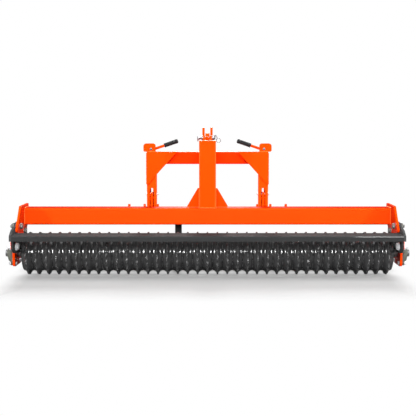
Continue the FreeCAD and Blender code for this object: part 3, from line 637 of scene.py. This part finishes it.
def makeWheelRowTree():
    tree, start, end = newGeometryTree("wheelRow", {
        "Wheel": "Object", "Wheel Count": "Int", "Pitch": "Vector", "First Place": "Vector",
        "Turn": "Vector", "Seed": "Int", "Finish": "Material"})
    row = newNode(tree, "GeometryNodeMeshLine")
    pattern = newNode(tree, "GeometryNodeObjectInfo")
    chance = newNode(tree, "FunctionNodeRandomValue", {"data_type": "FLOAT_VECTOR"})
    put = newNode(tree, "GeometryNodeInstanceOnPoints")
    join(tree,
         (start, "Wheel Count", row, "Count"),
         (start, "First Place", row, "Start Location"),
         (start, "Pitch", row, "Offset"),
         (start, "Wheel", pattern, "Object"),
         (start, "Turn", chance, 1),
         (start, "Seed", chance, "Seed"),
         (row, "Mesh", put, "Points"),
         (pattern, "Geometry", put, "Instance"),
         (chance, 0, put, "Rotation"))
    finishGeometryTree(tree, start, end, put)
    return tree


def makePackerWheels():
    axle = centre("axle")
    pattern = makeWheelMesh()
    row = meshObject("packerWheels", [(0, 0, 0)], [], materials["cast_wheels"])
    runGeometryTree(row, makeWheelRowTree(), {
        "Wheel": pattern, "Wheel Count": wheel["count"], "Pitch": (wheel["pitch"], 0, 0),
        "First Place": (-(wheel["count"] - 1) / 2 * wheel["pitch"], axle.y, axle.z),
        "Turn": (2 * math.pi / wheel["notches"], 0, 0), "Seed": wheel["seed"],
        "Finish": materials["cast_wheels"]})
    bpy.data.objects.remove(pattern)
    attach(row, "roller")
    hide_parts("packer_wheels")
    print("packer wheels:", len(row.data.polygons), "faces")


makePackerWheels()


# Turned, hexagonal and bent parts in mesh code

chamfer = {
    "circle": 0.96,              # radius where it starts, as a share of half the flats
    "slope": 0.5,
}
wireTip = 0.4                    # how far a wire's end bulges, as a share of its radius


def sideways(along):
    # Two unit vectors square to a direction, right-handed with it
    first = along.orthogonal().normalized()
    return first, along.cross(first)


class Shape:
    # Points and faces of one piece, gathered part by part

    def __init__(self):
        self.points = []
        self.faces = []

    def skin(self, rings, first, last):
        # Closed skin over rings of equal length, with a point at either end
        count, start = len(rings[0]), len(self.points)
        self.points += [tuple(first)] + [tuple(p) for ring in rings for p in ring] + [tuple(last)]
        end = len(self.points) - 1
        for j in range(count):
            k = (j + 1) % count
            self.faces.append((start, start + 1 + k, start + 1 + j))
            for i in range(len(rings) - 1):
                low = start + 1 + i * count
                self.faces.append((low + j, low + k, low + count + k, low + count + j))
            top = start + 1 + (len(rings) - 1) * count
            self.faces.append((top + j, top + k, end))

    def turned(self, base, along, section, sides=24):
        # Section as (distance along, radius); either may be a function of the angle
        base, along = Vector(base), Vector(along).normalized()
        u, v = sideways(along)
        rings = []
        for distance, radius in section:
            ring = []
            for n in range(sides):
                angle = 2 * math.pi * n / sides
                d = distance(angle) if callable(distance) else distance
                r = radius(angle) if callable(radius) else radius
                ring.append(base + along * d + (u * math.cos(angle) + v * math.sin(angle)) * r)
            rings.append(ring)
        ends = [sum(ring, Vector()) / sides for ring in (rings[0], rings[-1])]
        self.skin(rings, ends[0], ends[1])

    def hexagon(self, base, along, acrossFlats, height, chamferStart=True):
        # Hexagonal head or nut, with its far end chamfered, and its near end too unless told not to
        flat = acrossFlats / 2
        circle = flat * chamfer["circle"]

        def corner(angle):
            return flat / math.cos((angle + math.pi / 6) % (math.pi / 3) - math.pi / 6)

        def low(angle):
            return (corner(angle) - circle) * chamfer["slope"]

        def high(angle):
            return height - low(angle)

        section = [(0.0, circle), (low, corner)] if chamferStart else [(0.0, corner)]
        self.turned(base, along, section + [(high, corner), (height, circle)])

    def bent(self, path, radius, sides=10):
        # Round wire along a path of points
        path = [Vector(p) for p in path]
        along = (path[1] - path[0]).normalized()
        u, v = sideways(along)
        first = path[0] - along * radius * wireTip
        rings = []
        for n, place in enumerate(path):
            before, after = path[max(n - 1, 0)], path[min(n + 1, len(path) - 1)]
            ahead = (after - before).normalized()
            turn = along.rotation_difference(ahead)
            u, v, along = turn @ u, turn @ v, ahead
            rings.append([place + (u * math.cos(a) + v * math.sin(a)) * radius
                          for a in (2 * math.pi * k / sides for k in range(sides))])
        self.skin(rings, first, path[-1] + along * radius * wireTip)

    def piece(self, name, body, slotName, replaced=(), smoothAngle=35.0, finish=None):
        made = meshObject(name, self.points, self.faces, materials[finish or slotName], smoothAngle)
        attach(made, body)
        if replaced:
            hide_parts(*replaced)


# Strips that narrow the slots of the uprights, deep inside them; the lower ones are very dark, as
# painted shade in the slots

slotLiner = {
    "reach": (0.0060, 0.0145),   # from the slot's middle, over the gap beside the hook plate
    "depth": (0.2050, 0.2090),
    "corner": 0.0012,
    "parts": (                   # name, lower and upper end, finish
        ("slotLiners", (0.292, 0.456), "slotShade"),           # beside the hook plate, very dark: painted shade
        ("slotSides", (0.4550, 0.4900), "orange_paint")),      # above it
}


def makeSlotLiners(name, height, finish):
    shape = Shape()
    near, far = slotLiner["reach"]
    front, back = slotLiner["depth"]
    low, high = height
    corner = slotLiner["corner"]
    cut = corner / 2
    slotX = centre("hitch_upright_right").x
    for side in (-1, 1):
        for half in (-1, 1):
            rings = []
            for z, inset in ((low, corner), (low + corner, 0.0),
                             (high - corner, 0.0), (high, corner)):
                x, y = (far - near) / 2 - inset, (back - front) / 2 - inset
                middle = Vector((side * slotX + half * (near + far) / 2, (front + back) / 2, z))
                outline = ((x, -y + cut), (x, y - cut), (x - cut, y), (-x + cut, y),
                           (-x, y - cut), (-x, -y + cut), (-x + cut, -y), (x - cut, -y))
                rings.append([middle + Vector((a, b, 0)) for a, b in outline])
            ends = [ring[0].lerp(ring[4], 0.5) for ring in (rings[0], rings[-1])]
            shape.skin(rings, ends[0], ends[1])
    shape.piece(name, "frame", "orange_paint", finish=finish)


for part in slotLiner["parts"]:
    makeSlotLiners(*part)
print("slot liners made")


# Bolts, nuts and washers

bolts = {
    "acrossFlats": 3.0,          # from here to the root, shares of the shank's radius
    "washerRadius": 1.95,
    "washer": 0.22,
    "head": 1.03,
    "nut": 1.0,
    "collar": 0.34,
    "end": 2.1,
    "collarRadii": (1.36, 1.30, 1.12),
    "root": (0.9, 0.88),         # of the thread, under the nut and between turns
    "washerEdge": 0.25,          # share of the washer's height
    "collarShoulder": 0.6,       # share of the collar's height
    "collarFoot": 0.98,          # share of the nut's height
    "threads": 5,
    "sets": {                    # seats of the head and the nut along X, radius, places as (y, z)
        "arm": {"seats": (1.0861, 1.1221), "radius": 0.010, "finish": "dullZinc",
                "places": ((-0.092, 0.286), (-0.001, 0.248)), "replaced": ("arm_bolts",)},
        "hanger": {"seats": (1.0980, 1.1221), "radius": 0.012, "finish": "brightZinc",
                   "places": ((-0.159, 0.178), (0.031, 0.178)), "replaced": ("hanger_bolts",)},
        "bearing": {"seats": (1.1100, 1.1371), "radius": 0.006, "finish": "zinc",
                    "places": ((-0.115, 0.073), (-0.115, 0.175), (-0.013, 0.073), (-0.013, 0.175)),
                    "replaced": ("bearing_bolts",)},
        "hitch": {"seats": (0.3715, 0.3115), "radius": 0.005, "finish": "zinc",
                  "places": ((0.187, 0.449),), "replaced": ()},
    },
}


def addBolt(shape, headSeat, nutSeat, radius):
    # Hexagon bolt with washers, lock nut and thread end, from its head's seat to its nut's
    headSeat, nutSeat = Vector(headSeat), Vector(nutSeat)
    grasp = nutSeat - headSeat
    along = grasp.normalized()
    flats, wide, washer, head, nut, collar, end = (
        bolts[key] * radius for key in
        ("acrossFlats", "washerRadius", "washer", "head", "nut", "collar", "end"))
    edge = washer * bolts["washerEdge"]
    for seat, out in ((headSeat, -along), (nutSeat, along)):
        shape.turned(seat, out, [(0.0, wide), (washer - edge, wide), (washer, wide - edge)])
    shape.hexagon(headSeat - along * washer, -along, flats, head, chamferStart=False)
    low = nutSeat + along * washer
    shape.hexagon(low, along, flats, nut)
    heights = (0.0, collar * bolts["collarShoulder"], collar)
    shape.turned(low + along * nut * bolts["collarFoot"], along,
                 [(height, radius * share) for height, share in zip(heights, bolts["collarRadii"])])
    first, root = bolts["root"]
    step = (end - washer - nut) / bolts["threads"]
    section = [(0.0, radius * first)]
    for n in range(bolts["threads"]):
        section += [(step * (n + 0.5), radius), (step * (n + 1.0), radius * root)]
    shape.turned(low + along * nut, along, section)
    shape.turned(headSeat, grasp, [(0.0, radius), (grasp.length, radius)])


def makeBolts():
    for name, kind in bolts["sets"].items():
        shape = Shape()
        headX, nutX = kind["seats"]
        for side in (-1, 1):
            for y, z in kind["places"]:
                addBolt(shape, (side * headX, y, z), (side * nutX, y, z), kind["radius"])
        shape.piece(name + "Bolts", "frame", "zinc", kind["replaced"], finish=kind["finish"])


makeBolts()
print("bolts made")


# Hitch pins, link studs, their linch pins and the levers' pivots

pins = {
    "top": ((-0.054, 0.048), (0.141, 0.793), 0.0095),    # ends along X from the head, place, radius
    "lower": ((0.489, 0.2875), (0.141, 0.336), 0.011),
    "stud": ((0.3835, 0.4675), (0.246, 0.325), 0.011),
    "headRadius": 0.016,
    "headLength": 0.008,
    "headEdge": 0.25,            # share of the head's length that is chamfered
    "taper": (0.004, 0.0025),    # length and depth at a pin's far end
    "topWashers": (-0.030, 0.0262),
    "topWasherSection": ((0.0, 1.45), (0.0030, 1.45), (0.0034, 1.3)),    # radius as a share
    "handle": {"offset": 0.004, "radius": 0.016, "wire": 0.0022, "sides": 8},
    "studCollar": {"length": 0.004, "shoulder": 0.8, "end": 0.95},
    "studNut": {"seat": 0.3715, "height": 0.014, "acrossFlats": 0.030},
}
linch = {
    "half": 0.018,               # half length of the shaft, and radius of the spring bow
    "shaft": 0.0034,
    "tip": (0.002, 0.6),         # length, and share of the shaft's radius
    "head": ((-0.006, 1.0), (-0.005, 1.9), (0.002, 1.9), (0.003, 1.5)),    # from the top, share
    "wire": 0.0026,
    "bowAngles": (6, 168, 13),
    "ringRadius": 0.0125,
    "ringWire": 0.0018,
    "ringSides": 8,
    "ringDrop": 0.004,
    "circle": (0, 360, 25),
    "inset": 0.009,              # from the end of the top pin or a stud
    "lowerInset": 0.0045,        # from the end of a lower pin
    "topDirections": ((1, 0, -0.35), (0.35, 0, 1)),
    "lowerUp": (0, 0.2, 1),
    "studUp": (0, 0.35, 1),
}
pivot = {
    "place": (0.345, 0.187, 0.726),
    "radius": 0.008,
    "ends": (0.163, 0.211),      # along Y, at the faces of the cheeks
    "sunk": 0.002,
    "acrossFlats": 0.012,
    "heads": (0.0055, 0.0065),
}


def pinEnd(length, radius):
    # End of a pin's section, with a short taper
    taper, depth = pins["taper"]
    return [(length - taper, radius), (length, radius - depth)]


def addPin(shape, start, end, radius):
    # Plain round pin with a disc head at its start
    start, end = Vector(start), Vector(end)
    along, length = (end - start).normalized(), (end - start).length
    head, height = pins["headRadius"], pins["headLength"]
    edge = height * pins["headEdge"]
    shape.turned(start, -along, [(0.0, head), (height - edge, head), (height, head - edge)])
    shape.turned(start, along, [(0.0, radius)] + pinEnd(length, radius))


def addLinchPin(shape, place, out, up):
    # Linch pin through a pin's end: its shaft stands along up, its spring bow goes round the end
    place, out, up = Vector(place), Vector(out), Vector(up)
    half, shaft, wire = linch["half"], linch["shaft"], linch["wire"]
    tipLength, tipShare = linch["tip"]
    section = [(0.0, shaft * tipShare), (tipLength, shaft)]
    section += [(2 * half + rise, shaft * share) for rise, share in linch["head"]]
    shape.turned(place - up * half, up, section)
    shape.bent([place + (up * math.cos(a) + out * math.sin(a)) * half
                for a in anglesBetween(*linch["bowAngles"])], wire)
    radius, ringWire = linch["ringRadius"], linch["ringWire"]
    middle = place + out * (half + radius - ringWire) - up * linch["ringDrop"]
    shape.bent([middle + (out * math.cos(a) + up * math.sin(a)) * radius
                for a in anglesBetween(*linch["circle"])], ringWire, linch["ringSides"])


def makeTopPin():
    shape = Shape()
    (left, right), (y, z), radius = pins["top"]
    handle = pins["handle"]
    addPin(shape, (left, y, z), (right, y, z), radius)
    for x, out in zip(pins["topWashers"], (-1, 1)):
        shape.turned((x, y, z), (out, 0, 0), [
            (height, radius * share) for height, share in pins["topWasherSection"]])
    addLinchPin(shape, (right - linch["inset"], y, z), *linch["topDirections"])
    shape.bent([(left - handle["offset"], y + handle["radius"] * math.cos(a),
                 z - handle["offset"] + handle["radius"] * math.sin(a))
                for a in anglesBetween(*linch["circle"])], handle["wire"], handle["sides"])
    shape.piece("topPin", "frame", "zinc", ["top_pin"], finish="darkZinc")


def makeLowerPin(side, name):
    shape = Shape()
    (start, end), (y, z), radius = pins["lower"]
    addPin(shape, (side * start, y, z), (side * end, y, z), radius)
    addLinchPin(shape, (side * (end + linch["lowerInset"]), y, z), (-side, 0, 0), linch["lowerUp"])
    shape.piece("lowerPin." + name, "frame", "zinc", ["lower_pin_" + name], finish="darkZinc")


def makeLinkStud(side, name):
    shape = Shape()
    (start, end), (y, z), radius = pins["stud"]
    wide, collar, nut = pins["headRadius"], pins["studCollar"], pins["studNut"]
    shape.turned((side * start, y, z), (side, 0, 0), [
        (0.0, wide), (collar["length"] * collar["shoulder"], wide),
        (collar["length"], wide * collar["end"]), (collar["length"], radius)
        ] + pinEnd(end - start, radius))
    addLinchPin(shape, (side * (end - linch["inset"]), y, z), (side, 0, 0), linch["studUp"])
    shape.hexagon((side * nut["seat"], y, z), (-side, 0, 0), nut["acrossFlats"], nut["height"],
                  chamferStart=False)
    shape.piece("linkStud." + name, "frame", "zinc", ["hitch_link_stud_" + name])


def makeLeverPivots():
    shape = Shape()
    rear, front = pivot["ends"]
    sunk, flats = pivot["sunk"], pivot["acrossFlats"]
    rearHead, frontHead = pivot["heads"]
    low, high = rear + sunk, front - sunk
    for side in (-1, 1):
        x, z = side * pivot["place"][0], pivot["place"][2]
        shape.turned((x, low, z), (0, 1, 0),
                     [(0.0, pivot["radius"]), (high - low, pivot["radius"])])
        shape.hexagon((x, low, z), (0, -1, 0), flats, rearHead, chamferStart=False)
        shape.hexagon((x, high, z), (0, 1, 0), flats, frontHead)
    shape.piece("leverPivots", "frame", "zinc", ["lever_pivots"], finish="darkZinc")


makeTopPin()
for side, name in leftRight:
    makeLowerPin(side, name)
    makeLinkStud(side, name)
makeLeverPivots()
print("pins made")


# Ribbed hand grips on the levers

grip = {
    "rise": 19.0,                # degrees that a lever points above the horizontal
    "drop": 0.007,               # of the grip's line below the pivot, square to the lever
    "bare": 0.083,               # from the pivot to the grip
    "length": 0.088,
    "radius": 0.0136,
    "foot": ((0.0, 0.0012), (0.001, 0.0), (0.005, 0.0)),    # distance along, depth below the radius
    "ribsStart": 0.006,
    "ribsEnd": 0.012,            # back from the far end
    "ribs": 9,
    "rib": ((0.0, 1), (0.38, 1), (0.52, 0), (0.88, 0)),     # share of a rib's pitch, of the depth
    "groove": 0.0016,
    "nose": ((0.009, 0.0), (0.004, 0.0010), (0.001, 0.0035), (0.0, 0.0065)),    # back from the end
    "sides": 28,
    "smoothAngle": 50.0,
}


def makeGrip(side, name):
    rise = math.radians(grip["rise"])
    along = Vector((-side * math.cos(rise), 0, math.sin(rise)))
    line = Vector(pivot["place"]) + Vector((-math.sin(rise), 0, -math.cos(rise))) * grip["drop"]
    start = Vector((side * line.x, line.y, line.z)) + along * grip["bare"]
    radius, length = grip["radius"], grip["length"]
    step = (length - grip["ribsStart"] - grip["ribsEnd"]) / grip["ribs"]
    section = [(distance, radius - depth) for distance, depth in grip["foot"]]
    for n in range(grip["ribs"]):
        section += [(grip["ribsStart"] + step * (n + share), radius - grip["groove"] * deep)
                    for share, deep in grip["rib"]]
    section += [(length - distance, radius - depth) for distance, depth in grip["nose"]]
    shape = Shape()
    shape.turned(start, along, section, grip["sides"])
    shape.piece("leverGrip." + name, name + "_lever", "grip", ["lever_grip_" + name],
                grip["smoothAngle"])


for side, name in leftRight:
    makeGrip(side, name)
print("grips made")


# Small parts of the bearings

bearingParts = {
    "sides": 12,
    "nippleX": 1.1475,
    "nippleFoot": 0.038,         # from the axle's line
    "nippleOut": (0, -0.7071, 0.7071),
    "nippleSection": ((0.0, 0.0042), (0.014, 0.0042), (0.0142, 0.0028), (0.017, 0.0024),
                      (0.0185, 0.0032), (0.0205, 0.0030), (0.0215, 0.0015)),
    "screwX": 1.162,
    "screwFoot": 0.024,
    "screwAngles": (20, 140),    # round the axle, from level
    "screwSection": ((0.0, 0.0026), (0.0042, 0.0026), (0.0046, 0.0020)),
}


def makeBearingParts():
    axle = centre("axle")
    nipples, screws = Shape(), Shape()

    def addStub(shape, kind, side, out):
        out = Vector(out)
        base = Vector((side * bearingParts[kind + "X"], axle.y, axle.z))
        shape.turned(base + out * bearingParts[kind + "Foot"], out, bearingParts[kind + "Section"],
                     bearingParts["sides"])

    for side in (-1, 1):
        addStub(nipples, "nipple", side, bearingParts["nippleOut"])
        for angle in bearingParts["screwAngles"]:
            turn = math.radians(angle)
            addStub(screws, "screw", side, (0, math.cos(turn), math.sin(turn)))
    nipples.piece("greaseNipples", "frame", "zinc")
    screws.piece("bearingSetScrews", "frame", "bare_steel")


makeBearingParts()
print("bearing parts made")


# Weld beads: one bead, repeated with changes of size along each line

def seams(axis, ends, *places):
    # Lines along one axis, each at a place given on the other two
    at = "XYZ".index(axis)
    return [tuple(place[:at] + (end,) + place[at:] for end in ends) for place in places]


weld = {
    "spacing": 0.0030,
    "beadHalf": 0.0026,
    "beadRadius": 0.0034,
    "beadAngles": (-75, -40, 0, 40, 75),
    "beadSides": 8,
    "smoothAngle": 180.0,
    "least": (0.85, 0.80, 0.80),    # the beads' sizes lie between these
    "most": (1.20, 1.20, 1.20),
    "seed": 3,
    "mirrored": [                # on the +X side, repeated on the -X side
        *seams("Y", (0.007, 0.103), (0.050, 0.381)),    # foot of the mast
        *seams("X", (0.052, 0.121), (0.049, 0.381), (0.061, 0.381)),    # gusset beside it
        *seams("Z", (0.383, 0.494), (0.050, 0.049), (0.050, 0.061)),
        *seams("Z", (0.288, 0.374), (1.0860, 0.005)),    # end of the beam
        *seams("Y", (0.012, 0.098), (1.0860, 0.381), (1.0860, 0.281)),
        *seams("Z", (0.288, 0.374), (1.0860, 0.105)),
        ((0.3695, 0.162, 0.510), (0.3140, 0.162, 0.5705)),    # corner gusset
        *seams("Z", (0.512, 0.700), (0.3720, 0.1615)),
        *seams("Z", (0.640, 0.700), (0.3115, 0.170), (0.3115, 0.212)),    # end of the top bar
        *seams("Y", (0.178, 0.210), (0.0175, 0.709), (0.0315, 0.709)),    # ear for the link
        *seams("Z", (0.750, 0.778), (0.026, 0.105)),    # ear on the mast
        *seams("Z", (0.296, 0.378), (0.2955, 0.105), (0.3875, 0.105),    # lower bracket
                    (0.4690, 0.105), (0.4810, 0.105)),
        *seams("Z", (0.298, 0.362), (0.3716, 0.172)),    # plate of the stud
        *seams("X", (0.3235, 0.3675), (0.163, 0.709), (0.211, 0.709)),    # cheeks of the lever
    ],
    "single": [
        *seams("X", (-0.044, 0.044), (0.0052, 0.381)),    # foot of the mast
        *seams("Z", (0.289, 0.343), (-0.204, 0.105), (-0.150, 0.105)),    # sleeve of the stand
    ],
    "stand": [
        *seams("X", (-0.194, -0.160), (0.112, 0.012), (0.152, 0.012)),
        *seams("Y", (0.115, 0.149), (-0.197, 0.012), (-0.157, 0.012)),
    ],
}


def makeWeldTree():
    tree, start, end = newGeometryTree("weldRow", {
        "Bead": "Object", "Spacing": "Float", "Least Size": "Vector", "Most Size": "Vector",
        "Seed": "Int", "Finish": "Material"})
    curve = newNode(tree, "GeometryNodeMeshToCurve")
    steps = newNode(tree, "GeometryNodeResampleCurve", {"mode": "LENGTH"})
    ahead = newNode(tree, "GeometryNodeInputTangent")
    turn = newNode(tree, "FunctionNodeAlignRotationToVector", {"axis": "X"})
    chance = newNode(tree, "FunctionNodeRandomValue", {"data_type": "FLOAT_VECTOR"})
    pattern = newNode(tree, "GeometryNodeObjectInfo")
    put = newNode(tree, "GeometryNodeInstanceOnPoints")
    join(tree,
         (start, "Geometry", curve, "Mesh"),
         (curve, "Curve", steps, "Curve"),
         (start, "Spacing", steps, "Length"),
         (steps, "Curve", put, "Points"),
         (ahead, "Tangent", turn, "Vector"),
         (turn, "Rotation", put, "Rotation"),
         (start, "Least Size", chance, 0),
         (start, "Most Size", chance, 1),
         (start, "Seed", chance, "Seed"),
         (chance, 0, put, "Scale"),
         (start, "Bead", pattern, "Object"),
         (pattern, "Geometry", put, "Instance"))
    finishGeometryTree(tree, start, end, put)
    return tree


def makeWeldBead():
    angles = [math.radians(angle) for angle in weld["beadAngles"]]
    bead = Shape()
    bead.turned((0, 0, 0), (1, 0, 0), [
        (weld["beadHalf"] * math.sin(a), weld["beadRadius"] * math.cos(a)) for a in angles],
        weld["beadSides"])
    return meshObject("weldBead", bead.points, bead.faces, materials["orange_paint"],
                      weld["smoothAngle"])


def makeWelds():
    bead = makeWeldBead()
    tree = makeWeldTree()
    onFrame = list(weld["single"])
    for line in weld["mirrored"]:
        onFrame += [line, tuple((-x, y, z) for x, y, z in line)]
    for name, body, slotName, finish, lines in (
            ("frameWelds", "frame", "orange_paint", "weldPaint", onFrame),
            ("standWelds", "stand", "dark_paint", "dark_paint", weld["stand"])):
        points = [point for line in lines for point in line]
        mesh = bpy.data.meshes.new(name)
        mesh.from_pydata(points, [(2 * n, 2 * n + 1) for n in range(len(lines))], [])
        row = newObject(name, mesh)
        runGeometryTree(row, tree, {
            "Bead": bead, "Spacing": weld["spacing"], "Least Size": weld["least"],
            "Most Size": weld["most"], "Seed": weld["seed"], "Finish": materials[finish]})
        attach(row, body)
        print(name + ":", len(row.data.polygons), "faces")
    bpy.data.objects.remove(bead)


makeWelds()
